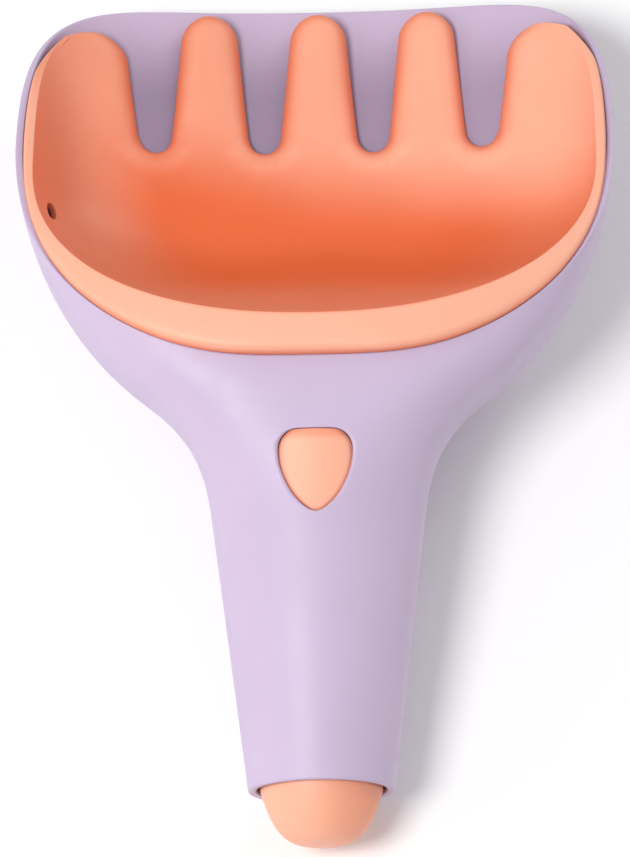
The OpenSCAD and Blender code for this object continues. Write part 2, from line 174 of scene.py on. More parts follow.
class RakeSizes(bpy.types.PropertyGroup):
    """Sizes of the rake with its stem, tip and button."""

    side_room: length("Side room", "From the outside of the shovel to the inside of the bowl", 4.6)
    floor_room: length("Floor room", "From the underside of the shovel to the bowl's floor", 7)
    crest_back: length("Crest back", "From the back of the shovel's rim to the crest of the heel", 9)
    side_back: length("Side back", "From the widest station back to the straight sides of the bowl", 8)
    crest_lift: length("Crest lift", "Height of the crest over the shovel's rim", 7)
    rim_lift: length("Rim lift", "Height of the rake's rim over the shovel's rim at the sides", 1.5)
    rake_wall: length("Rake wall", "Wall of the bowl and the tines", 1.8)
    drain_d: length("Drain hole", "Diameter of the drain hole", 5)
    drain_y: length("Drain place", "From the crest to the drain hole", 37)
    drain_z: length("Drain depth", "Depth of the drain hole below the handle axis", 17)
    slot_len: length("Slot length", "Length of the slots between the tines", 35.5)
    slot_root_w: length("Slot width", "Width of a slot at its round end", 7.7)
    tip_r: length("Tine tip radius", "Radius of the round tips", 7.1)
    tip_back: length("Tip back", "From the front lip back to the tips", 2.1)
    outer_back: length("Outer tip back", "How far the outer tines end behind the others", 6.4)
    outer_shift: length("Outer tip shift", "How far the outer tips stand outwards of the spacing", 0.2)
    outer_tip_r: length("Outer tip radius", "Radius of the inner half of the outer tines' tips", 7.2)
    outer_tip_w: length("Outer tip width", "Reach of the outer half of the outer tines' tips", 10.8)
    tine_crown: length("Tine crown", "How far a tine's middle stands over the floor between", 4)
    stem_recess: length("Stem recess", "From the sleeve's end to the end face of the stem", 3)
    stem_len: length("Stem length", "From the end face of the stem to its seat", 86.5)
    socket_d: length("Socket diameter", "Diameter of the socket behind the bowl", 28.2)
    tip_gap: length("Tip gap", "Gap between the tip and the inside of the sleeve", 0.6)
    tip_len: length("Tip length", "How far the tip stands out of the sleeve", 12.58)
    tongue_len: length("Tongue length", "From the broad end of the window to the hinge", 44.8)
    tongue_w: length("Tongue width", "Width of the tongue", 12)
    tongue_t: length("Tongue thickness", "Thickness of the tongue", 2.2)
    knuckle_drop: length("Knuckle drop", "Depth of the hinge below the top of the stem", 2.5)
    button_dip: length("Button dip", "How far the button's point lies below its broad end", 2.6)
    crown_r: length("Crown radius", "Radius of the button's top across the handle", 30)
    slide_gap: length("Slide gap", "Gap between the rake and the inside of the shovel", 0.4)
    latch_gap: length("Latch gap", "Gap around the button", 0.5)
    seat_gap: length("Seat gap", "Gap of fixed joints", 0.1)
    plan_power: share("Plan power", "Plan of the bowl", 2.2)
    side_power: share("Side power", "Wall of the bowl at its sides", 3.1)
    heel_power: share("Heel power", "Wall of the bowl at the heel", 1.3)
    heel_round: share("Heel round", "Foot of the heel", 1.1)
    floor_share: share("Floor share", "Part of the plan where heel and sides blend", 0.06)
    arch_fade: share("Arch fade", "How far the arches between the tines fade to the sides", 0.5)
    pitch_share: share("Pitch share", "Spacing of the tines in the width of the bowl", 0.1993)
    tip_power: share("Tip power", "Roundness of the tip of the stem", 0.26)
    corner_share: share("Corner share", "Round of the button's corners in its width", 0.267)
    point_share: share("Point share", "Round of the button's point in its width", 0.16)
    belly_share: share("Belly share", "Round of the button's belly in its width", 0.453)
    belly_back: share("Belly place", "Place of the button's belly in its length", 0.432)
    slot_roll: length("Slot roll", "Radius of the rolled edges of slots and tines", 2.4)
    slot_swell: length("Slot swell", "Height of the low swell beside the rolled edges", 0.6)
    band_roll: length("Band roll", "Radius of the rolled outer edge of the band", 2.6)


class PlasticColours(bpy.types.PropertyGroup):
    """Colours of the two plastics, and the darker colours of the shade painted on them."""

    coral: colour("Coral", "Plastic of the rake", (0.98, 0.45, 0.30))
    # Painted shade: a deeper coral laid where shade falls, on the bowl's floor, walls and rolled edges, the
    # button's broad end and the tip's right side.
    coral_deep: colour("Deep coral", "Plastic of the rake on the floor of the bowl and its rolled edges",
                       (0.80, 0.146, 0.038))
    lilac: colour("Lilac", "Plastic of the shovel", (0.59, 0.472, 0.653))
    # Painted shade: a darker lilac laid on the shovel's inner side, more on the left and none at the lip.
    lilac_shaded_inside: colour("Lilac inside", "Plastic of the shovel on its inner side", (0.275, 0.217, 0.338))


def clamp01(t):
    return np.clip(t, 0.0, 1.0)


def smooth(t):
    """Cubic step from 0 to 1."""
    c = clamp01(t)
    return c * c * (3 - 2 * c)


def ridge(t, middle, width):
    """Bell curve of height 1."""
    return np.exp(-(((t - middle) / width) ** 2))


def dims():
    """All sizes in millimetres, with those that follow from others, and the lie of the toy."""
    d = SimpleNamespace()
    for group in (bpy.context.scene.shovel_sizes, bpy.context.scene.rake_sizes):
        for key in group.__annotations__:
            is_length = group.bl_rna.properties[key].unit == "LENGTH"
            setattr(d, key, getattr(group, key) / (MM if is_length else 1.0))
    d.neck_y = d.sleeve_len
    d.scoop_back_y = d.neck_y + d.neck_len
    d.heel_y = d.scoop_back_y + d.heel_back
    d.scoop_y = d.scoop_back_y + d.shoulder_len
    d.back_len = d.shoulder_len + d.back_over
    d.front_y = d.scoop_y + d.trough_len
    d.crest_y = d.heel_y + d.crest_back
    d.bowl_y = d.scoop_y - d.side_back
    d.heel_len = d.bowl_y - d.crest_y
    d.tip_y = d.front_y - d.tip_back
    d.slot_y = d.tip_y - d.slot_len
    d.seat_y = d.stem_recess + d.stem_len
    d.hinge_y = d.window_y - d.tongue_len
    d.rim_side_y = (d.bowl_y + d.scoop_y) / 2
    d.lip_z = d.lip_h - d.scoop_depth - d.floor_fall
    d.bowl_r = d.scoop_w / 2 - d.side_room
    d.bowl_depth = d.scoop_depth - d.floor_room
    d.pitch = 2 * d.bowl_r * d.pitch_share
    d.tip_d = min(d.sleeve_end_w, d.sleeve_end_h) - 2 * (d.wall + d.tip_gap)
    touch = np.array([-d.scoop_y / d.back_len, -d.sleeve_end_h / 2 / d.scoop_depth])
    angle = math.atan2(touch[1], touch[0]) + math.acos(1 / np.hypot(*touch))
    touch_z = d.scoop_depth * math.sin(angle)
    touch_y = d.scoop_y + d.back_len * math.cos(angle)
    d.lie = math.atan2(-d.sleeve_end_h / 2 - touch_z, touch_y)
    d.ground = touch_y * math.sin(d.lie) + touch_z * math.cos(d.lie) + d.sole_cut
    u = np.sin(np.linspace(0, math.pi / 2, 15))
    back = -d.tip_len * u * math.cos(d.lie) - d.tip_d / 2 * (1 - u) ** d.tip_power * math.sin(d.lie)
    front = d.front_y * math.cos(d.lie) - (d.lip_z - d.lip_h) * math.sin(d.lie)
    d.mid_y = (back.min() + front) / 2
    return d


def lay(d, points):
    """Points along the handle, turned by the lie of the toy and moved over its middle, in metres."""
    x, y, z = np.moveaxis(np.asarray(points, float), -1, 0)
    c, s = math.cos(d.lie), math.sin(d.lie)
    return np.stack([x, y * c - z * s - d.mid_y, y * s + z * c - d.ground], -1) * MM


def neck_curve(d, y, end, root, full):
    """Half-size along the handle: straight taper, cubic neck, ellipse, with equal slopes where they meet."""
    slope0 = (root - end) / d.neck_y
    u1 = d.shoulder_len / d.back_len
    c1 = math.sqrt(1 - u1 * u1)
    t = clamp01((y - d.neck_y) / d.neck_len)
    cubic = ((2 * t**3 - 3 * t**2 + 1) * root + (t**3 - 2 * t**2 + t) * d.neck_len * slope0
             + (3 * t**2 - 2 * t**3) * full * c1 + (t**3 - t**2) * d.neck_len * full * u1 / (d.back_len * c1))
    ellipse = full * np.sqrt(1 - clamp01((d.scoop_y - y) / d.back_len) ** 2)
    return np.where(y < d.neck_y, end + slope0 * y, np.where(y < d.scoop_back_y, cubic, ellipse))


def half_w(d, y):
    return neck_curve(d, y, d.sleeve_end_w / 2, d.sleeve_root_w / 2, d.scoop_w / 2)


def half_top(d, y):
    return d.sleeve_end_h / 2 + (d.heel_h - d.sleeve_end_h / 2) * y / d.heel_y


def half_low(d, y):
    return (neck_curve(d, y, d.sleeve_end_h / 2, d.sleeve_root_drop, d.scoop_depth)
            + d.floor_fall * clamp01((y - d.scoop_y) / d.trough_len))


def power_at(d, y, upper):
    """Power of the superellipse of a section: 2 along the sleeve, squarer along the scoop."""
    full = np.where(upper, d.top_power, d.bottom_power)
    return 2 + (full - 2) * smooth((y - d.neck_y) / (d.heel_y - d.neck_y))


def shovel_point(d, y, a):
    """Outside of the shovel at station y and angle a about the handle axis: a superellipse by angle."""
    c, s = np.cos(a), np.sin(a)
    n = power_at(d, y, s > 0)
    reach = (np.abs(c) ** n + np.abs(s) ** n) ** (1 / n)
    return np.stack([half_w(d, y) * c / reach, y + 0 * a,
                     np.where(s > 0, half_top(d, y), half_low(d, y)) * s / reach], -1)


def shovel_x(d, y, z):
    """Half-width of the shovel's outside at a height."""
    n = power_at(d, y, z > 0)
    h = np.where(z > 0, half_top(d, y), half_low(d, y))
    return half_w(d, y) * clamp01(1 - (np.abs(z) / h) ** n) ** (1 / n)


def rim_z(d, y):
    """Height of the shovel's rim: from the heel down to the lip as a power of the way that is left."""
    left = 1 - clamp01((y - d.heel_y) / (d.front_y - d.heel_y))
    return d.lip_z + (d.heel_h - d.lip_z) * left ** d.rim_power


def along_curve(points, fractions):
    """Points at given fractions of the length of a polyline."""
    steps = np.linalg.norm(np.diff(points, axis=0), axis=1)
    way = np.concatenate([[0], np.cumsum(steps)])
    at = np.asarray(fractions) * way[-1]
    return np.stack([np.interp(at, way, points[:, k]) for k in range(points.shape[1])], -1)


def button_reach(d, angles, centre_y, grow):
    """Distance from a centre to the button's outline in given directions.

    The outline is the hull of four circles: its edge in a direction is the nearest of the hull's tangents."""
    corner, point = d.window_w * d.corner_share, d.window_w * d.point_share
    circles = [(s * (d.window_w / 2 - corner), d.window_y - corner, corner) for s in (-1, 1)]
    circles += [(0, d.window_y - d.window_len * d.belly_back, d.window_w * d.belly_share),
                (0, d.window_y - d.window_len + point, point)]
    return hull_reach(circles, angles, centre_y, grow, BUTTON_BOW)


def hull_reach(circles, angles, centre_y, grow, soften=0):
    """Distance from (0, centre_y) to the hull of circles (x, y, r) in given directions.

    soften averages the tangents over as many half degrees to both sides, which bows straight sides out, all
    around but at the far end."""
    t = np.linspace(0, 2 * math.pi, 721)
    support = np.max([x * np.cos(t) + (y - centre_y) * np.sin(t) + r for x, y, r in circles], axis=0) + grow
    if soften:
        bowed = np.mean([np.roll(support[:-1], k) for k in range(-soften, soften + 1)], axis=0)
        bowed = np.append(bowed, bowed[0])
        support = support + (bowed - support) * smooth((0.95 - np.sin(t)) / 0.6)
    facing = np.cos(t[None] - np.asarray(angles)[:, None])
    return np.where(facing > 0.05, support / np.maximum(facing, 0.05), np.inf).min(1)


def quads(a, b):
    """Faces between two rows of vertex numbers of equal length."""
    return np.stack([a[:-1], a[1:], b[1:], b[:-1]], -1)


def grid_faces(rows):
    """Faces of a grid of vertex numbers."""
    return np.concatenate([quads(rows[i], rows[i + 1]) for i in range(len(rows) - 1)])


class Shell:
    """Vertices and faces of one surface, gathered row by row."""

    def __init__(self):
        self.points, self.faces, self.count = [], [], 0

    def add(self, points):
        """Adds points of any grid shape and gives back their numbers in that shape."""
        points = np.asarray(points, float)
        shape = points.shape[:-1]
        flat = points.reshape(-1, 3)
        numbers = np.arange(self.count, self.count + len(flat)).reshape(shape)
        self.points.append(flat)
        self.count += len(flat)
        return numbers

    def face(self, quad_rows):
        self.faces.append(np.asarray(quad_rows, int).reshape(-1, 4))

    def all_points(self):
        return np.concatenate(self.points)

    def mesh(self, d, name, flat_sole=False, turn=False, marks=None):
        """A smooth mesh on the ground; a quad with two equal corners becomes a triangle.

        marks are values of its own for each vertex, by name, which the material reads."""
        points = lay(d, self.all_points())
        if flat_sole:
            points[:, 2] = np.maximum(points[:, 2], 0.0)
        faces = [list(dict.fromkeys(f)) for f in np.concatenate(self.faces).tolist()]
        if turn:
            faces = [f[::-1] for f in faces]
        mesh = bpy.data.meshes.new(name)
        mesh.from_pydata(points.tolist(), [], [f for f in faces if len(f) > 2])
        mesh.polygons.foreach_set("use_smooth", np.ones(len(mesh.polygons), bool))
        mesh.validate()
        for key, values in (marks or {}).items():
            mark = mesh.attributes.new(key, "FLOAT", "POINT")
            mark.data.foreach_set("value", np.asarray(values, np.float32))
        return mesh


def finish_piece(name, mesh, material, body, thickness=0.0, weights=None, inner=None):
    """Links a piece, gives it wall and smoothing, and lets it ride on its body.

    weights are shares of the wall's thickness for each vertex; inner is the material of its inner side."""
    piece = bpy.data.objects.new(name, mesh)
    bpy.context.scene.collection.objects.link(piece)
    mesh.materials.append(material)
    if thickness:
        wall = piece.modifiers.new("Wall", "SOLIDIFY")
        wall.thickness = thickness * MM
        wall.offset = -1.0
        wall.use_quality_normals = True
        if inner:
            mesh.materials.append(inner)
            wall.material_offset = 1
        if weights is not None:
            group = piece.vertex_groups.new(name="wall")
            for value in np.unique(np.round(weights, 2)):
                at = np.flatnonzero(np.round(weights, 2) == value)
                group.add(at.tolist(), float(value), "REPLACE")
            wall.vertex_group = "wall"
    soft = piece.modifiers.new("Smooth", "SUBSURF")
    soft.levels = soft.render_levels = SMOOTH_LEVELS
    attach(piece, body)
    return piece


def hole_patch(shell, ring, plan, edge, place, rows):
    """Rings of faces from a closed loop of numbers, which lies at plan, to an edge of as many plan points.

    place() takes plan points to the surface; rows are fractions of the way from the loop to the edge."""
    for f in rows:
        new = shell.add(place(plan + (edge - plan) * f))
        shell.face(np.stack([ring, np.roll(ring, -1), np.roll(new, -1), new], -1))
        ring = new


def on_top(width, height, power):
    """A place() from plan (x, y) to the upper surface with given half-width, height and power by station."""
    def place(plan):
        x, y = plan[:, 0], plan[:, 1]
        n = power(y)
        z = height(y) * clamp01(1 - (np.abs(x) / width(y)) ** n) ** (1 / n)
        return np.stack([x, y, z], -1)

    return place


def loop_of_block(rows):
    """Numbers around a block of a grid, once around."""
    return np.concatenate([rows[0, :-1], rows[:-1, -1], rows[-1, :0:-1], rows[:0:-1, 0]])


def windowed_tube(shell, rings, rows, near):
    """Faces over closed rings but for a block on top; gives the rings' numbers and the loop around the block.

    The block runs over the given rows, and to both sides of the first column by as many as near says."""
    numbers = shell.add(rings)
    closed = np.concatenate([numbers, numbers[:, :1]], 1)
    first, last = rows[0], rows[-1]
    for i in range(len(numbers) - 1):
        row = quads(closed[i], closed[i + 1])
        shell.face(row[near:AROUND - near] if first <= i < last else row)
    block = numbers[first:last + 1]
    return numbers, loop_of_block(np.concatenate([block[:, -near:], block[:, :near + 1]], 1))


def rim_table(d):
    """Angle about the handle axis and points of the shovel's rim, from the heel to the middle of the lip."""
    q = np.linspace(0, 1, 4001)
    y = d.heel_y + (d.front_y - d.heel_y) * q**4 / (q**4 + (1 - q) ** 4)
    z = rim_z(d, y)
    x = shovel_x(d, y, z)
    lip = np.linspace(0, 1, 200)[1:, None] * [-x[-1], 0, half_low(d, y[-1]) * -1 - z[-1]]
    points = np.concatenate([np.stack([x, y, z], -1), [x[-1], y[-1], z[-1]] + lip])
    h = np.where(points[:, 2] > 0, half_top(d, points[:, 1]), half_low(d, points[:, 1]))
    return np.arctan2(points[:, 2] / h, points[:, 0] / half_w(d, points[:, 1])), points


def shovel_shell(d):
    """Outside of the shovel.

    Lines of equal angle about the handle axis run from the sleeve's end to the rim and the lip; they meet the
    rim at equal steps of its length. The window is a ring of faces between a block of the sleeve and the
    button's outline."""
    shell = Shell()
    table, points = rim_table(d)
    half = along_curve(np.column_stack([points, table]), np.linspace(0, 1, AROUND // 2 + 1))
    right, reach_y = half[:, 3], half[:, 1]
    a = np.concatenate([math.pi - right, 2 * math.pi + right[-2:0:-1]])
    reach_y = np.concatenate([reach_y, reach_y[-2:0:-1]])
    ys = np.array(SLEEVE_RINGS) * d.heel_y / RINGS_HEEL
    v = np.linspace(0, 1, SCOOP_RINGS)[1:, None]
    y = np.concatenate([ys[:, None] + 0 * a[None], ys[-1] + (reach_y[None] - 3 - ys[-1]) * v,
                        reach_y[None] - np.array([1.4, 0.5, 0.0])[:, None]])
    rows = np.flatnonzero((ys > d.window_y - d.window_len - 5.5) & (ys < d.window_y + 4.5))
    _, outer = windowed_tube(shell, shovel_point(d, y, a[None] + 0 * y), rows, WINDOW_COLUMNS)
    centre = d.window_y - d.window_len * BUTTON_MIDDLE
    top = on_top(lambda y: half_w(d, y), lambda y: half_top(d, y), lambda y: power_at(d, y, True))
    plan = shell.all_points()[outer][:, :2]
    angles = np.arctan2(plan[:, 1] - centre, plan[:, 0])
    reach = button_reach(d, angles, centre, 0.0)
    edge = np.stack([reach * np.cos(angles), centre + reach * np.sin(angles)], -1)
    hole_patch(shell, outer, plan, edge, top, (0.35, 0.65, 0.84, 0.94, 1.0))
    return shell


def crest_share(d, y, grow=0.0):
    return clamp01((d.bowl_y - y) / (d.heel_len + grow))


def rake_rim_z(d, y):
    """Height of the rake's rim: the shovel's rim and a lift that grows towards the crest of the heel."""
    return rim_z(d, y) + d.rim_lift + (d.crest_lift - d.rim_lift) * crest_share(d, y) ** d.plan_power


def tine_arch(d, x, y):
    """Depth of the arches between the tines: a cosine across the tines that grows along the slots."""
    arch = (d.tine_crown * smooth((y - d.slot_y + d.slot_len / 2) / d.slot_len)
            * (1 - np.cos(2 * math.pi * x / d.pitch)) / 2
            * (1 - d.arch_fade * smooth(np.abs(x) / d.pitch - 1)))
    return np.where(np.abs(x) > 2 * d.pitch, 0.0, arch)


def bowl_z(d, x, y, grow=0.0):
    """Height of the bowl over its plan: superelliptic walls at the sides turn into a slope at the heel."""
    back = crest_share(d, y, grow) ** d.plan_power
    side = (np.abs(x) / (d.bowl_r + grow)) ** d.plan_power
    reach = np.minimum(1, back + side)
    turn = back / (back + side + d.floor_share * (1 - reach))
    r = reach ** (1 / d.plan_power)
    a = d.side_power + (d.heel_power - d.side_power) * turn
    b = 1 / d.side_power + (d.heel_round - 1 / d.side_power) * turn
    top = rake_rim_z(d, np.minimum(y, d.bowl_y))
    return top - (top + d.bowl_depth + grow) * np.maximum(0, 1 - r**a) ** b - tine_arch(d, x, y)


def rim_x(d, y):
    """Half-width of the bowl's rim: the plan behind, the wall cut by the falling rim in front."""
    plan = d.bowl_r * (1 - crest_share(d, y) ** d.plan_power) ** (1 / d.plan_power)
    top = rake_rim_z(d, np.asarray(d.bowl_y, float))
    fall = clamp01((top - rake_rim_z(d, y)) / (top + d.bowl_depth))
    cut = d.bowl_r * (1 - fall**d.side_power) ** (1 / d.side_power)
    return np.where(y > d.bowl_y, cut, plan)


def comb_gap(d, x, y):
    """Distance from a point of the plan to the edge of the nearest slot or tine tip."""
    root = d.slot_root_w / 2
    ahead = y - d.slot_y - root
    gap = np.full(np.shape(x), np.inf)
    for k in (-1.5, -0.5, 0.5, 1.5):
        off = np.abs(x - k * d.pitch)
        slant = np.where(np.abs(x) > 1.5 * d.pitch, slot_slant(d, True), slot_slant(d))
        side = (off - root - np.maximum(ahead, 0) * np.tan(slant)) * np.cos(slant)
        gap = np.minimum(gap, np.where(ahead > 0, side, np.hypot(off, ahead) - root))
    for k in (-1, 0, 1):
        tip = d.tip_r - np.hypot(x - k * d.pitch, y - d.tip_y + d.tip_r)
        on_tip = (y > d.tip_y - d.tip_r) & (np.abs(x - k * d.pitch) < d.pitch / 2)
        gap = np.where(on_tip, np.minimum(gap, tip), gap)
    mid, r = outer_tip(d)
    off = np.abs(x) - mid[0]
    tip = r * (1 - np.hypot(off / np.where(off > 0, d.outer_tip_w, r), (y - mid[1]) / r))
    gap = np.where((y > mid[1]) & (np.abs(x) > 1.5 * d.pitch), np.minimum(gap, tip), gap)
    return np.maximum(gap, 0.0)


def on_bowl(d, plan):
    """Plan points put on the inside of the bowl.

    Along slots and tips the sheet rolls down as a quarter circle, with a low swell beside it; both fade out
    towards the rim."""
    x, y = plan[..., 0], plan[..., 1]
    gap, r = comb_gap(d, x, y), d.slot_roll
    roll = r - np.sqrt(np.maximum(0, r * r - np.maximum(0, r - gap) ** 2))
    swell = d.slot_swell * ridge(gap, 1.8 * r, 0.8 * r)
    return np.stack([x, y, bowl_z(d, x, y) + (swell - roll) * rim_fade(d, x, y)], -1)


def rim_fade(d, x, y):
    """1 over the floor, falling to 0 at the rim."""
    return 1 - smooth((np.abs(x) / np.maximum(rim_x(d, y), 1.0) - 0.8) / 0.2)


def comb_plan(d):
    """Plan of the floor between the outer slots: columns along tines and slots, rows from heel to slots.

    The rows blend four edges: an arc at the heel, the two sides, and the line of the slots' round ends."""
    root = d.slot_root_w / 2
    bend = np.linspace(0, math.pi, SLOT_STEPS + 1)
    slot_x, slot_dip = -root * np.cos(bend), root * np.sin(bend)
    tine_f = -np.cos(np.linspace(0, math.pi, TINE_STEPS + 1))
    xs, dips = [slot_x - 1.5 * d.pitch], [slot_dip]
    for k in (-1, 0, 1):
        xs += [k * d.pitch + tine_f[1:] * (d.pitch / 2 - root), (k + 0.5) * d.pitch + slot_x[1:]]
        dips += [0 * tine_f[1:], slot_dip[1:]]
    xs, dips = np.concatenate(xs), np.concatenate(dips)
    edge_x = xs[-1]
    root_y = d.slot_y + root
    top = np.stack([xs, root_y - dips], -1)
    xi = (xs + edge_x) / (2 * edge_x)
    heel = heel_arc(d, edge_x / d.bowl_r, HEEL_TURN * (2 * xi - 1))
    arc = heel_arc(d, edge_x / d.bowl_r, np.linspace(HEEL_TURN, math.pi / 2, 60))
    line = np.concatenate([arc, [[edge_x, root_y]]])
    eta = np.concatenate([np.linspace(0, 0.90, SIDE_STEPS - 4), [0.93, 0.955, 0.975, 0.99, 1.0]])
    right = along_curve(line, eta)
    left = right * [-1, 1]
    e, x = eta[:, None, None], xi[None, :, None]
    corners = (1 - x) * (1 - e) * heel[0] + x * (1 - e) * heel[-1] + (1 - x) * e * top[0] + x * e * top[-1]
    return (1 - e) * heel[None] + e * top[None] + (1 - x) * left[:, None] + x * right[:, None] - corners


def heel_arc(d, scale, angles):
    """The bowl's plan drawn in by a scale, by angle from the heel."""
    s, c = np.sin(angles), np.cos(angles)
    e = 2 / d.plan_power
    return np.stack([d.bowl_r * scale * np.sign(s) * np.abs(s) ** e,
                     d.bowl_y - d.heel_len * scale * np.abs(c) ** e], -1)


def heel_angle(d, plan):
    """Angle from the heel at which a scaled plan of the bowl passes through plan points."""
    return np.arctan2((np.abs(plan[:, 0]) / d.bowl_r) ** (d.plan_power / 2),
                      crest_share(d, plan[:, 1]) ** (d.plan_power / 2))


def outer_tip(d):
    """Middle and radius of the round tip of the right outer tine."""
    return np.array([2 * d.pitch + d.outer_shift, d.tip_y - d.outer_back - d.outer_tip_r]), d.outer_tip_r


def outer_tip_at(d, turn):
    """Outline of the right outer tip by angle: a circle on the inner half, a superellipse on the outer."""
    mid, r = outer_tip(d)
    c, s = np.cos(turn), np.sin(turn)
    x = np.where(c > 0, d.outer_tip_w * np.abs(c) ** OUTER_TIP_POWER, r * c)
    y = np.where(c > 0, np.abs(s) ** OUTER_TIP_POWER, s) * r
    return mid + np.stack([x, y], -1)


def slot_slant(d, outer=False):
    """Lean of a slot's sides: the line that touches both the slot's round end and the tine's round tip."""
    root = d.slot_root_w / 2
    across, ahead, r = d.pitch / 2, d.slot_len - d.tip_r - root, d.tip_r
    if outer:
        mid, r = outer_tip(d)
        across, ahead = mid[0] - 1.5 * d.pitch, mid[1] - d.slot_y - root
    return math.acos((root + r) / math.hypot(across, ahead)) - math.atan2(ahead, across)


def outer_tine_plan(d):
    """Inner and outer edge of the right outer tine, from its root to its tip, and the round of its tip."""
    slant = slot_slant(d, True)
    mid, r = outer_tip(d)
    start = np.array([1.5 * d.pitch + d.slot_root_w / 2, d.slot_y + d.slot_root_w / 2])
    touch = mid + r * np.array([-math.cos(slant), math.sin(slant)])
    turn = np.linspace(math.pi / 2, 0.0, 800)
    arc = outer_tip_at(d, turn)
    a1 = turn[np.argmax(arc[:, 0] > rim_x(d, arc[:, 1]))]
    end_y = outer_tip_at(d, a1)[1]
    f = np.concatenate([np.linspace(0, 0.95, FINGER_STEPS), [0.985, 1.0]])
    inner = start + (touch - start) * f[:, None]
    rim_ys = np.linspace(start[1], end_y, 300)
    outer = along_curve(np.stack([rim_x(d, rim_ys), rim_ys], -1), f)
    return inner, outer, math.pi - slant, a1


def wall_steps(d, foot, rim):
    """Fractions of the way from the floor's edge to the rim: a row for each step, a column for each point.

    The steps are even in the angle at which the wall's superellipse is passed, so they crowd at its bend."""
    on_heel = foot[:, 1] < d.bowl_y
    r0 = np.where(on_heel, HEEL_FOOT, np.abs(foot[:, 0]) / d.bowl_r)
    r1 = np.where(on_heel, 1.0, np.minimum(np.abs(rim[:, 0]) / d.bowl_r, 1.0))

    def lean(r):
        return np.arctan2(r, np.maximum(1e-9, 1 - np.minimum(r, 1) ** d.side_power) ** (1 / d.side_power))

    even = np.concatenate([[0.015, 0.045, 0.09], np.linspace(0.06, 1, WALL_STEPS)[1:-1], [0.975, 1.0]])
    p = lean(r0)[None] + (lean(r1) - lean(r0))[None] * even[:, None]
    s, c = np.sin(p), np.cos(p)
    r = s / (s**d.side_power + np.abs(c) ** d.side_power) ** (1 / d.side_power)
    steps = clamp01((r - r0[None]) / (r1 - r0)[None])
    steps[-1] = 1.0
    return steps


def middle_tines(d, shell, plan, core):
    """The three middle tines, from the last row of the floor to their round tips."""
    v = np.concatenate([np.linspace(0, 0.90, FINGER_STEPS), [0.94, 0.97, 0.99, 1.0]])[1:, None, None]
    f = np.linspace(-1, 1, TINE_STEPS + 1) * (math.pi / 2 - slot_slant(d))
    for k in (-1, 0, 1):
        at = SLOT_STEPS + (k + 1) * (SLOT_STEPS + TINE_STEPS)
        base = plan[-1, at:at + TINE_STEPS + 1]
        tip = np.stack([k * d.pitch + d.tip_r * np.sin(f), d.tip_y - d.tip_r + d.tip_r * np.cos(f)], -1)
        finger = shell.add(on_bowl(d, base[None] + (tip - base)[None] * v))
        shell.face(grid_faces(np.concatenate([core[-1:, at:at + TINE_STEPS + 1], finger])))


def rake_shell(d):
    """Inside of the rake's bowl with its tines and the rolled rim, shares of its wall, and its marks.

    The floor between the outer slots is one grid, and the three middle tines go on from it. A strip runs
    around it from tip to tip of the outer tines: up the walls to the crest, over the band and down its
    edge."""
    shell = Shell()
    plan = comb_plan(d)
    core = shell.add(on_bowl(d, plan))
    shell.face(grid_faces(core))
    middle_tines(d, shell, plan, core)
    inner, outer, a0, a1 = outer_tine_plan(d)
    tines = {s: shell.add(on_bowl(d, inner[1:] * [s, 1])) for s in (-1, 1)}
    edge = np.concatenate([tines[-1][::-1], core[::-1, 0], core[0, 1:], core[1:, -1], tines[1]])
    foot = shell.all_points()[edge][:, :2]
    rows, columns = core.shape
    start = len(inner) - 1
    side = foot[start:start + rows][::-1] * [-1, 1]
    right = np.where((side[:, 1] < d.bowl_y)[:, None], heel_arc(d, 1.0, heel_angle(d, side)),
                     np.stack([rim_x(d, side[:, 1]), side[:, 1]], -1))
    bottom = foot[start + rows - 1:start + rows - 1 + columns]
    heel = heel_arc(d, 1.0, np.sign(bottom[:, 0]) * heel_angle(d, bottom))
    rim = np.concatenate([outer[:0:-1] * [-1, 1], right[::-1] * [-1, 1], heel[1:-1], right, outer[1:]])
    steps = wall_steps(d, foot, rim)
    wall = foot[None] + (rim - foot)[None] * steps[..., None]
    bulge = outer_tip_at(d, a0 + (a1 - a0) * steps[:, -1]) - wall[:, -1]
    for back, fade in enumerate((1.0, 0.9, 0.6, 0.25)):
        wall[:, -1 - back] += bulge * fade
        wall[:, back] += bulge * fade * [-1, 1]
    strip = shell.add(on_bowl(d, wall))
    numbers = np.concatenate([edge[None], strip])[:, ::-1]
    cut_drain(d, shell, numbers)
    band = shell.add(rim_band(d, rim[::-1]))
    shell.face(grid_faces(np.concatenate([numbers[-1:], band])))
    weights = np.ones(shell.count)
    weights[band.ravel()] = np.repeat(np.linspace(0.85, 0.5, len(band)), band.shape[1])
    marks = bowl_marks(d, shell.all_points())
    mark_band(d, marks, numbers[-1], band, rim[::-1])
    return shell, weights, marks


def mark_band(d, marks, crest, band, rim):
    """Marks of the band: plain colour on top and painted shade on its rolled edge, fading to the tine's own
    painted shade along an outer tine.
    """
    plain = smooth((rim[:, 1] - d.slot_y) / (d.slot_len / 2))
    own = marks["painted_shade"][crest]
    marks["painted_shade"][crest] = own * (0.45 + 0.55 * plain)
    across = np.array(BAND_SHADE)[:, None]
    marks["painted_shade"][band.ravel()] = (across + (own - across) * plain).ravel()
    marks["worn"][band.ravel()] = np.repeat(np.array(BAND_WORN), band.shape[1])


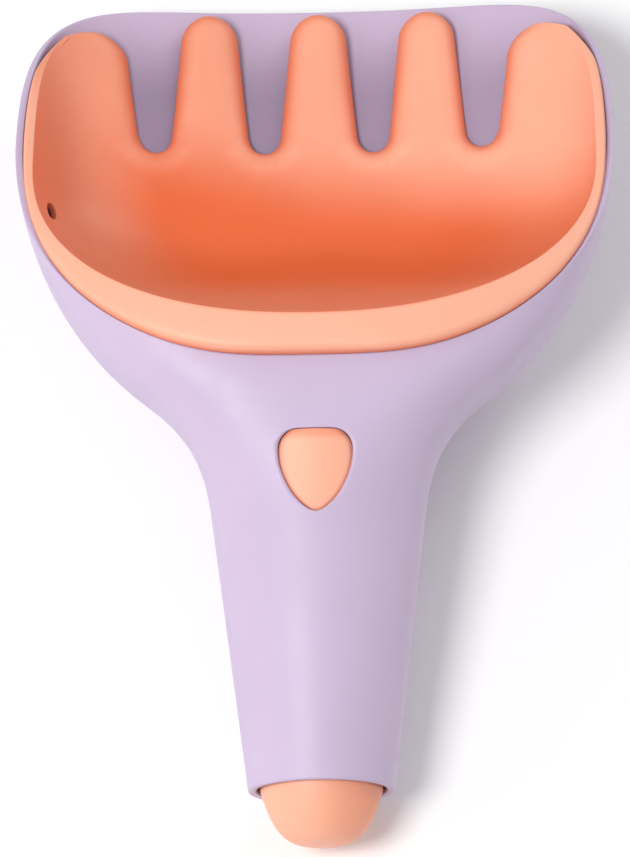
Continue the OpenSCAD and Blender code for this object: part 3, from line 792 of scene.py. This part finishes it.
def bowl_marks(d, points):
    """How much painted shade a point of the bowl gets, and how much its edge is worn, both from 0 to 1.

    The painted shade is full on the floor behind the slots, less up the heel, on the walls and along the
    tines, where it also falls from left to right, and nearly full on the rolled edges of slots and tips, all
    where shade falls. A painted highlight lifts it on a low ridge behind each slot's round end. Worn is a
    narrow ridge along those edges."""
    x, y = points[:, 0], points[:, 1]
    back, side = crest_share(d, y) ** d.plan_power, (np.abs(x) / d.bowl_r) ** d.plan_power
    turn = back / (back + side + d.floor_share)
    lean, pale = np.where(x < 0, *SHADE_LEAN) * x, np.where(x < 0, *WALL_SHADE_LIFT)
    ahead = 1 - smooth((y + lean - d.slot_y + 22) / 26)
    wall = 1 - (1 - turn) * smooth((np.sqrt(back + side) - 0.5) / 0.35) * pale
    gap = comb_gap(d, x, y)
    edge = (1 - smooth(gap / (1.4 * d.slot_roll))) * rim_fade(d, x, y)
    swell = smooth((d.slot_y + 2 - y) / 3) * ridge(gap, 1.9 * d.slot_roll, 0.6 * d.slot_roll)
    # Painted shade on the floor, heavier towards the left, where the left wall shades it.
    ground = 0.2 - 0.2 * np.clip(x / d.bowl_r / 0.8, -1, 1)
    # Painted shade, full behind the slots and on the rolled edges; the swell takes some off as a painted
    # highlight.
    painted_shade = clamp01(ground + (1 - ground) * np.maximum(ahead * wall, 0.75 * edge) - 0.18 * swell)
    painted_shade *= 1 - 0.13 * smooth((back - 0.15) / 0.5)
    return {"painted_shade": painted_shade, "worn": ridge(gap, d.slot_roll, 0.4 * d.slot_roll)}


def cut_drain(d, shell, numbers):
    """Faces of the bowl's wall, with the round drain hole in the left side.

    The hole is a ring of faces between a block of the wall and a circle. Plan points here are rows and
    columns of the block, and lie between its four nearest corners."""
    points = shell.all_points()[numbers]
    target = np.array([-d.bowl_r, d.crest_y + d.drain_y, -d.drain_z])
    away = np.linalg.norm(points - target, axis=-1) + 1e3 * (points[..., 0] > 0)
    i, j = np.unravel_index(np.argmin(away), away.shape)
    i, j = int(np.clip(i, 2, points.shape[0] - 4)), int(np.clip(j, 3, points.shape[1] - 4))
    high, wide = 3, 4
    i0, i1, j0, j1 = i - 1, i - 1 + high, j - 2, j - 2 + wide
    keep = np.ones((numbers.shape[0] - 1, numbers.shape[1] - 1), bool)
    keep[i0:i1, j0:j1] = False
    shell.face(grid_faces(numbers).reshape(keep.shape + (4,))[keep])
    row, column = np.meshgrid(np.arange(high + 1.0), np.arange(wide + 1.0), indexing="ij")
    plan = np.stack([loop_of_block(row), loop_of_block(column)], -1)
    local = points[i0:i1 + 1, j0:j1 + 1]
    mid = np.array([high / 2, wide / 2])
    step = np.array([np.linalg.norm(local[-1, 2] - local[0, 2]) / high,
                     np.linalg.norm(local[1, -1] - local[1, 0]) / wide])
    way = (plan - mid) * step
    circle = mid + way / np.linalg.norm(way, axis=1)[:, None] * (d.drain_d / 2) / step

    def place(p):
        a, b = np.clip(p[:, 0], 0, high - 1e-6), np.clip(p[:, 1], 0, wide - 1e-6)
        ia, ib = a.astype(int), b.astype(int)
        fa, fb = (a - ia)[:, None], (b - ib)[:, None]
        return ((1 - fa) * (1 - fb) * local[ia, ib] + fa * (1 - fb) * local[ia + 1, ib]
                + (1 - fa) * fb * local[ia, ib + 1] + fa * fb * local[ia + 1, ib + 1])

    loop = loop_of_block(numbers[i0:i1 + 1, j0:j1 + 1])
    hole_patch(shell, loop, plan, circle, place, (0.4, 0.75, 0.92, 1.0))


def rim_band(d, rim):
    """Rows from the crest over the band to the rolled edge, which hangs over the shovel's rim.

    Each rim point looks outwards to the shovel's rim; the band bows up a little between them, and runs out
    towards the tips of the outer tines."""
    x, y = np.abs(rim[:, 0]), rim[:, 1]
    sign = np.sign(rim[:, 0] + 1e-9)
    end_y = d.slot_y + 0.75 * d.slot_len
    c = crest_share(d, y)
    t = np.where(y < d.bowl_y, np.arccos(clamp01(c ** (d.plan_power / 2))) / (math.pi / 2), 1.0)
    past = np.maximum(0, y - d.bowl_y) / (end_y - d.bowl_y)
    y_out = np.where(past > 0, d.rim_side_y + past * (end_y - d.rim_side_y),
                     d.rim_side_y - (d.rim_side_y - d.heel_y) * c)
    y_out = np.minimum(y_out, d.front_y - 1.5)
    edge = np.stack([shovel_x(d, y_out, rim_z(d, y_out)), y_out], -1)
    out = edge - [0, d.rim_side_y]
    out = np.where((past > 0)[:, None], [1.0, 0.0], out / np.linalg.norm(out, axis=1)[:, None])
    p0 = edge - out * (d.wall * t * t - d.slide_gap * (1 - t * t))[:, None]
    base = rim_z(d, p0[:, 1]) + d.seat_gap * (1 + t * t) / 2
    crest = np.stack([x, y], -1)
    high = rake_rim_z(d, y)
    taper = 1 - smooth((y - y.max() + BAND_TAPER) / BAND_TAPER)
    way = (p0 - crest) * (0.06 + 0.94 * taper)[:, None]
    base = high - (high - base) * (0.03 + 0.97 * taper)
    width = np.linalg.norm(way, axis=1)
    roll = np.minimum(0.35, d.band_roll / width)
    low = high - 0.12 * (high - base)
    rows = []
    for f in (0.06, 0.35, 0.7, 1.0):
        flat = crest + way * (f * (1 - roll))[:, None]
        rows.append(np.column_stack([flat, high + (low - high) * f * f]))
    for turn in np.radians((20, 42, 64, 80, 90)):
        bend = crest + way * (1 - roll + roll * math.sin(turn))[:, None]
        rows.append(np.column_stack([bend, base + (low - base) * math.cos(turn)]))
    rows = np.array(rows)
    rows[..., 0] *= sign
    return rows


def loft(shell, rings, closed_ends=(False, False)):
    """Faces over closed rings, with a fan to a middle point where an end is closed."""
    numbers = shell.add(rings)
    closed = np.concatenate([numbers, numbers[:, :1]], 1)
    shell.face(grid_faces(closed))
    for end in (0, -1):
        if closed_ends[end]:
            hub = np.full(len(closed[0]) - 1, shell.add(rings[end].mean(0)[None])[0])
            fan = np.stack([closed[end][:-1], closed[end][1:], hub, hub], -1)
            shell.face(fan if end else fan[:, ::-1])
    return numbers


def turned(profile, steps):
    """A profile of (radius, y) turned about the handle axis."""
    a = np.linspace(0, 2 * math.pi, steps + 1)[:-1]
    r, y = profile[:, :1], profile[:, 1:]
    return np.stack([r * np.cos(a)[None], y + 0 * a[None], r * np.sin(a)[None]], -1)


def tip_shell(d):
    """Domed tip of the stem: a power curve turned about the axis, with a short collar inside the sleeve."""
    u = np.sin(np.linspace(math.pi / 2, 0, 26))
    r = d.tip_d / 2
    dome = np.stack([r * (1 - u) ** d.tip_power, -d.tip_len * u], -1)
    collar = np.array([[r, 1.0], [r, 2.4], [r - 0.3, 2.9], [r - 1, 3.0], [r / 2, 3.0]])
    dome[0, 0] = 0.05
    shell = Shell()
    loft(shell, turned(np.concatenate([dome, collar]), 64), (True, True))
    return shell


def stem_sizes(d, y):
    """Half-width, upper and lower half-height of the stem: the sleeve drawn in by its wall and the gap."""
    inset = d.wall + d.slide_gap
    slope = (d.sleeve_root_w - d.sleeve_end_w) / 2 / d.neck_y
    w = d.sleeve_end_w / 2 + slope * y - inset * math.hypot(1, slope)
    ahead = np.linspace(0, 1, 25)[:, None]
    back = np.minimum(y, d.neck_y - 0.5)
    low = half_low(d, back[None] + (d.scoop_back_y - back)[None] * ahead).min(0)
    return w, half_top(d, y) - inset, low - inset


def stem_shell(d):
    """Outside of the hollow stem: half-elliptic rings with eased ends, and a long window for the latch."""
    shell = Shell()
    ys = d.stem_recess + np.concatenate([[0, 0.3, 1.0], np.linspace(3, d.stem_len - 3, 28),
                                         [d.stem_len - 1, d.stem_len - 0.3, d.stem_len]])
    w, up, low = stem_sizes(d, ys)
    end = np.minimum(ys - d.stem_recess, d.seat_y - ys)
    ease = STEM_EDGE * (1 - np.sqrt(clamp01(1 - (1 - clamp01(end / STEM_EDGE)) ** 2)))
    a = math.pi / 2 + np.linspace(0, 2 * math.pi, AROUND + 1)[:-1]
    c, s = np.cos(a)[None], np.sin(a)[None]
    z = np.where(s > 0, (up - ease)[:, None], (low - ease)[:, None]) * s
    rings = np.stack([(w - ease)[:, None] * c, ys[:, None] + 0 * c, z], -1)
    rows = np.flatnonzero((ys > d.hinge_y - 8) & (ys < d.window_y + 4))
    numbers, outer = windowed_tube(shell, rings, rows, LATCH_COLUMNS)
    half, r = d.window_w / 2 + d.latch_gap, 2.5
    y0, y1 = d.hinge_y - 1.6, d.window_y + 1.6
    centre, stretch = (y0 + y1) / 2, (y1 - y0) / (2 * half)
    top = on_top(lambda y: stem_sizes(d, y)[0], lambda y: stem_sizes(d, y)[1], lambda y: 2.0 + 0 * y)
    plan = shell.all_points()[outer][:, :2]
    angles = np.arctan2((plan[:, 1] - centre) / stretch, plan[:, 0])
    circles = [(sx * (half - r), centre + sy * (half - r), r) for sx in (-1, 1) for sy in (-1, 1)]
    reach = hull_reach(circles, angles, centre, 0.0)
    edge = np.stack([reach * np.cos(angles), centre + reach * np.sin(angles) * stretch], -1)
    hole_patch(shell, outer, plan, edge, top, (0.4, 0.75, 0.92, 1.0))
    for row, turn in ((numbers[0], -1), (numbers[-1], 1)):
        bore = shell.add(shell.all_points()[row] * [0.62, 1, 0.62])
        shell.face(quads(np.append(row, row[0]), np.append(bore, bore[0]))[:, ::turn])
    return shell


def socket_shell(d):
    """Socket behind the bowl: a round bar with an eased back edge that flares into the bowl's outside."""
    steps = 64
    a = np.linspace(0, 2 * math.pi, steps + 1)[:-1]
    r = d.socket_d / 2
    lo, hi = np.full(steps, d.crest_y - 3.0), np.full(steps, d.bowl_y)
    for _ in range(40):
        mid = (lo + hi) / 2
        above = bowl_z(d, r * np.cos(a), mid, d.rake_wall * 0.6) > r * np.sin(a)
        lo, hi = np.where(above, mid, lo), np.where(above, hi, mid)
    rings = []
    edge = 0.9
    for radius, step in ((0.3 * r, 0), (r - 0.8, 0), (r - 0.2, 0.25), (r, edge)):
        rings.append(np.stack([radius * np.cos(a), np.full(steps, d.seat_y + step), radius * np.sin(a)], -1))
    for f in (0.15, 0.35, 0.6, 0.8, 0.92, 1.0):
        y = d.seat_y + edge + (lo - d.seat_y - edge) * f
        rings.append(np.stack([r * np.cos(a), y, r * np.sin(a)], -1))
    shell = Shell()
    loft(shell, np.array(rings), (True, False))
    return shell


def button_shell(d):
    """Thumb button: its outline drawn in to the middle in rings, crowned across and dipping to its point.

    Below its top it widens to a skirt that closes the gap of the window, higher up at the broad end."""
    shell = Shell()
    centre = d.window_y - d.window_len * BUTTON_MIDDLE
    a = np.linspace(0, 2 * math.pi, 73)[:-1]
    reach = button_reach(d, a, centre, -d.latch_gap)
    dip, top = d.button_dip / d.window_len, half_top(d, d.window_y)
    broad = smooth((np.sin(a) - 0.72) / 0.2)
    rings = []
    for f, inset, drop in BUTTON_RINGS:
        inset = inset + 0.08 * broad * (inset > 0.3)
        drop = drop * (1 - 0.75 * broad) if drop < 0.7 else drop
        x, y = (reach * f + inset) * np.cos(a), centre + (reach * f + inset) * np.sin(a)
        z = top - (d.window_y - y) * dip - d.crown_r + np.sqrt(d.crown_r**2 - x * x) - drop
        rings.append(np.stack([x, y, z], -1))
    loft(shell, np.array(rings), (True, True))
    return shell


def tongue_shell(d):
    """Tongue under the sleeve: a rounded flat section carried from the knuckle to under the button."""
    _, up0, _ = stem_sizes(d, np.array([d.hinge_y]))
    _, up1, _ = stem_sizes(d, np.array([d.window_y]))
    z0, z1 = up0[0] - d.knuckle_drop, up1[0] - 1.5 * d.tongue_t
    f = np.concatenate([[0, 0.01, 0.03], np.linspace(0.08, 0.92, 12), [0.98, 1.0]])
    y = d.hinge_y - 0.8 + (d.window_y - d.latch_gap - 0.3 - d.hinge_y + 0.8) * f
    z = z0 + (z1 - z0) * smooth(f * 0.9 + 0.05)
    wide = d.tongue_w / 2 + (d.window_w / 2 - d.latch_gap - d.tongue_w / 2) * smooth((f - 0.45) / 0.12)
    shrink = np.where((f < 0.005) | (f > 0.99), 0.8, 1.0)
    a = np.linspace(0, 2 * math.pi, 49)[:-1]
    c, s = np.cos(a), np.sin(a)
    x = (np.sign(c) * np.abs(c) ** 0.25)[None] * (wide * shrink)[:, None]
    h = (np.sign(s) * np.abs(s) ** 0.4)[None] * (d.tongue_t / 2 * shrink)[:, None]
    shell = Shell()
    loft(shell, np.stack([x, y[:, None] + 0 * x, z[:, None] + h], -1), (True, True))
    return shell


def plastic(name, base, painted_shade=None):
    """Satin moulded plastic: slight clouds of colour and gloss, and the fine grain of the mould as bump.

    The third argument is a colour of painted shade, laid on where the piece's mark of the same name as that
    argument is full. Where its mark "worn" is full, the colour is a little paler and the gloss duller, in
    patches."""
    material = bpy.data.materials.get(name)
    if material:
        return material
    material = bpy.data.materials.new(name)
    material.use_nodes = True
    nodes, links = material.node_tree.nodes, material.node_tree.links
    shader = nodes["Principled BSDF"]
    shader.inputs["IOR"].default_value = 1.49
    shader.inputs["Specular IOR Level"].default_value = 0.5
    place = nodes.new("ShaderNodeTexCoord")

    def noise(scale, detail):
        node = nodes.new("ShaderNodeTexNoise")
        node.inputs["Scale"].default_value = scale
        node.inputs["Detail"].default_value = detail
        links.new(place.outputs["Object"], node.inputs["Vector"])
        return node.outputs["Fac"]

    def ramp(source, first, last, low, high):
        node = nodes.new("ShaderNodeMapRange")
        node.interpolation_type = "SMOOTHSTEP"
        for socket, number in (("From Min", first), ("From Max", last), ("To Min", low), ("To Max", high)):
            node.inputs[socket].default_value = number
        links.new(source, node.inputs["Value"])
        return node.outputs["Result"]

    def maths(operation, a, b):
        node = nodes.new("ShaderNodeMath")
        node.operation = operation
        links.new(a, node.inputs[0])
        links.new(b, node.inputs[1])
        return node.outputs["Value"]

    def mark(key):
        node = nodes.new("ShaderNodeAttribute")
        node.attribute_name = key
        return node.outputs["Fac"]

    def mix(first, second, factor):
        node = nodes.new("ShaderNodeMix")
        node.data_type = "RGBA"
        node.inputs["A"].default_value = (*base, 1)
        node.inputs["B"].default_value = (*second, 1)
        if first:
            links.new(first, node.inputs["A"])
        links.new(factor, node.inputs["Factor"])
        return node.outputs["Result"]

    patches = maths("MULTIPLY", mark("worn"), ramp(noise(90, 5), 0.45, 0.75, 0, 0.12))
    # Painted shade: the darker colour is mixed in where the piece's mark of it is full.
    paint = mix(None, painted_shade, mark("painted_shade")) if painted_shade else None
    pale = [0.6 * part + 0.4 * max(base) for part in base]
    value = nodes.new("ShaderNodeHueSaturation")
    links.new(mix(paint, pale, patches), value.inputs["Color"])
    links.new(ramp(noise(45, 3), 0, 1, 0.965, 1.03), value.inputs["Value"])
    links.new(value.outputs["Color"], shader.inputs["Base Color"])
    links.new(maths("ADD", ramp(noise(160, 4), 0, 1, 0.40, 0.54), patches), shader.inputs["Roughness"])
    grain = nodes.new("ShaderNodeBump")
    grain.inputs["Strength"].default_value = 0.18
    grain.inputs["Distance"].default_value = 0.00012
    links.new(noise(1600, 3), grain.inputs["Height"])
    links.new(grain.outputs["Normal"], shader.inputs["Normal"])
    return material


# Coral, with its deeper painted shade where a piece's marks ask for it.
def coral():
    colours = bpy.context.scene.plastic_colours
    return plastic("coral_moulding", tuple(colours.coral), tuple(colours.coral_deep))


def lilac():
    return plastic("lilac_moulding", tuple(bpy.context.scene.plastic_colours.lilac))


# Lilac, with a darker painted shade on the shovel's inner side.
def lilac_shaded_inside():
    colours = bpy.context.scene.plastic_colours
    return plastic("lilac_shaded_inside", tuple(colours.lilac), tuple(colours.lilac_shaded_inside))


def coral_piece(d, name, shell, body, wall=0.0, turn=True, marks=None, weights=None):
    """A piece of the rake's plastic."""
    mesh = shell.mesh(d, name, turn=turn, marks=marks)
    return finish_piece(name, mesh, coral(), body, wall, weights)


class SANDRAKE_OT_shovel(bpy.types.Operator):
    """Lilac shovel with its sleeve and window"""

    bl_idname = "sandrake.shovel"
    bl_label = "Shovel"

    def execute(self, context):
        d = dims()
        shell = shovel_shell(d)
        x, y = shell.all_points()[:, 0], shell.all_points()[:, 1]
        # Painted shade on the shovel's inner side: none at the lip, full behind it, heavier towards the left.
        marks = {"painted_shade": smooth((d.front_y - y) / (0.7 * d.slot_len)) * (0.8 - 0.4 * x / d.scoop_w)}
        mesh = shell.mesh(d, "shovel_shell", flat_sole=True, turn=True, marks=marks)
        piece = finish_piece("shovel_shell", mesh, lilac(), "shovel", d.wall,
                             inner=lilac_shaded_inside())
        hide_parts("shovel")
        return {"FINISHED"}


class SANDRAKE_OT_rake(bpy.types.Operator):
    """Coral rake head with tines and rolled rim, and the socket behind it"""

    bl_idname = "sandrake.rake"
    bl_label = "Rake head"

    def execute(self, context):
        d = dims()
        shell, weights, marks = rake_shell(d)
        bowl = coral_piece(d, "rake_bowl", shell, "rake", d.rake_wall, False, marks, weights)
        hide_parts("rake_head")
        coral_piece(d, "rake_socket", socket_shell(d), "rake")
        return {"FINISHED"}


class SANDRAKE_OT_stem(bpy.types.Operator):
    """Coral stem and its domed tip"""

    bl_idname = "sandrake.stem"
    bl_label = "Stem and tip"

    def execute(self, context):
        d = dims()
        stem = coral_piece(d, "rake_stem_shell", stem_shell(d), "rake", STEM_WALL)
        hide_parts("rake_stem")
        shell = tip_shell(d)
        # Painted shade on the tip's right side.
        marks = {"painted_shade": 0.32 * smooth((shell.all_points()[:, 0] + 4) / d.tip_d * 1.6)}
        tip = coral_piece(d, "stem_dome", shell, "rake", marks=marks)
        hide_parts("stem_tip")
        return {"FINISHED"}


class SANDRAKE_OT_latch(bpy.types.Operator):
    """Coral thumb button on its tongue"""

    bl_idname = "sandrake.latch"
    bl_label = "Thumb button"

    def execute(self, context):
        d = dims()
        shell = button_shell(d)
        # Painted shade along the button's broad end, where the window's edge shades it.
        marks = {"painted_shade": 0.35 * smooth((shell.all_points()[:, 1] - d.window_y + 2.6) / 1.2)}
        button = coral_piece(d, "thumb_button", shell, "latch", marks=marks)
        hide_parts("latch_button")
        coral_piece(d, "button_tongue", tongue_shell(d), "latch")
        return {"FINISHED"}


class SANDRAKE_OT_studio(bpy.types.Operator):
    """Pale floor, soft light and the camera"""

    bl_idname = "sandrake.studio"
    bl_label = "Studio"

    def execute(self, context):
        scene = context.scene
        scene.view_settings.view_transform = "Standard"
        floor_mesh = bpy.data.meshes.new("studio_floor")
        corners = [(x * FLOOR_HALF, y * FLOOR_HALF, 0) for x, y in ((-1, -1), (1, -1), (1, 1), (-1, 1))]
        floor_mesh.from_pydata(corners, [], [(0, 1, 2, 3)])
        floor = bpy.data.objects.new("studio_floor", floor_mesh)
        scene.collection.objects.link(floor)
        floor_mesh.materials.append(self.floor_material())
        world = bpy.data.worlds.new("studio_world")
        scene.world = world
        world.use_nodes = True
        sky = world.node_tree.nodes["Background"]
        sky.inputs["Color"].default_value = (1, 1, 1, 1)
        sky.inputs["Strength"].default_value = SKY_STRENGTH
        for lamp in LAMPS:
            self.lamp(*lamp)
        self.camera(scene, dims())
        return {"FINISHED"}

    @staticmethod
    def floor_material():
        material = bpy.data.materials.new("studio_white")
        material.use_nodes = True
        shader = material.node_tree.nodes["Principled BSDF"]
        shader.inputs["Base Color"].default_value = (FLOOR_WHITE, FLOOR_WHITE, FLOOR_WHITE, 1)
        shader.inputs["Roughness"].default_value = 0.9
        return material

    @staticmethod
    def lamp(name, place, size, watts):
        light = bpy.data.lights.new(name, "AREA")
        light.shape = "DISK"
        light.size = size
        light.energy = watts
        lamp = bpy.data.objects.new(name, light)
        bpy.context.scene.collection.objects.link(lamp)
        lamp.location = place
        lamp.rotation_euler = (Vector(LAMP_AIM) - Vector(place)).to_track_quat("-Z", "Y").to_euler()

    @staticmethod
    def camera(scene, d):
        """Looks at the neck from above the handle, a little from the right, as the photograph does."""
        aim = Vector(lay(d, [0, CAMERA_AIM_Y, 0]))
        tip = CAMERA_TILT + d.lie
        back = Vector((math.sin(CAMERA_LEAN), -math.sin(tip) * math.cos(CAMERA_LEAN),
                       math.cos(tip) * math.cos(CAMERA_LEAN)))
        handle = Vector((0, math.cos(d.lie), math.sin(d.lie)))
        up = (handle - back * handle.dot(back)).normalized()
        right = up.cross(back)
        c, s = math.cos(CAMERA_ROLL), math.sin(CAMERA_ROLL)
        up, right = up * c + right * s, right * c - up * s
        offset_x, offset_y = PHOTO_AIM[0] - PHOTO_SIZE[0] / 2, PHOTO_SIZE[1] / 2 - PHOTO_AIM[1]
        place = aim + back * CAMERA_FAR - right * offset_x * PIXEL - up * offset_y * PIXEL
        camera = bpy.data.cameras.new("photo_camera")
        camera.sensor_fit = "VERTICAL"
        camera.sensor_height = 36
        camera.lens = camera.sensor_height * CAMERA_FAR / PIXEL / PHOTO_SIZE[1]
        camera.clip_start, camera.clip_end = 0.05, 20
        holder = bpy.data.objects.new("photo_camera", camera)
        holder.matrix_world = Matrix((
            (right.x, up.x, back.x, place.x), (right.y, up.y, back.y, place.y),
            (right.z, up.z, back.z, place.z), (0, 0, 0, 1)))
        scene.collection.objects.link(holder)
        scene.camera = holder


class SANDRAKE_PT_panel(bpy.types.Panel):
    """Lists the pieces of the sand rake"""

    bl_idname = "SANDRAKE_PT_panel"
    bl_label = "Sand rake"
    bl_space_type = "VIEW_3D"
    bl_region_type = "UI"
    bl_category = "Sand rake"

    def draw(self, context):
        for operator in OPERATORS:
            self.layout.operator(operator.bl_idname)
        for group in (context.scene.plastic_colours, context.scene.shovel_sizes, context.scene.rake_sizes):
            box = self.layout.box()
            for key in group.__annotations__:
                box.prop(group, key)


OPERATORS = (SANDRAKE_OT_shovel, SANDRAKE_OT_rake, SANDRAKE_OT_stem, SANDRAKE_OT_latch, SANDRAKE_OT_studio)
GROUPS = {"shovel_sizes": ShovelSizes, "rake_sizes": RakeSizes, "plastic_colours": PlasticColours}


def register():
    for cls in (*GROUPS.values(), *OPERATORS, SANDRAKE_PT_panel):
        bpy.utils.register_class(cls)
    for name, group in GROUPS.items():
        setattr(bpy.types.Scene, name, bpy.props.PointerProperty(type=group))


def unregister():
    for name in GROUPS:
        delattr(bpy.types.Scene, name)
    for cls in (SANDRAKE_PT_panel, *OPERATORS[::-1], *GROUPS.values()):
        bpy.utils.unregister_class(cls)


def main():
    register()
    bpy.ops.sandrake.shovel()
    bpy.ops.sandrake.rake()
    bpy.ops.sandrake.stem()
    bpy.ops.sandrake.latch()
    bpy.ops.sandrake.studio()


if __name__ == "__main__":
    main()
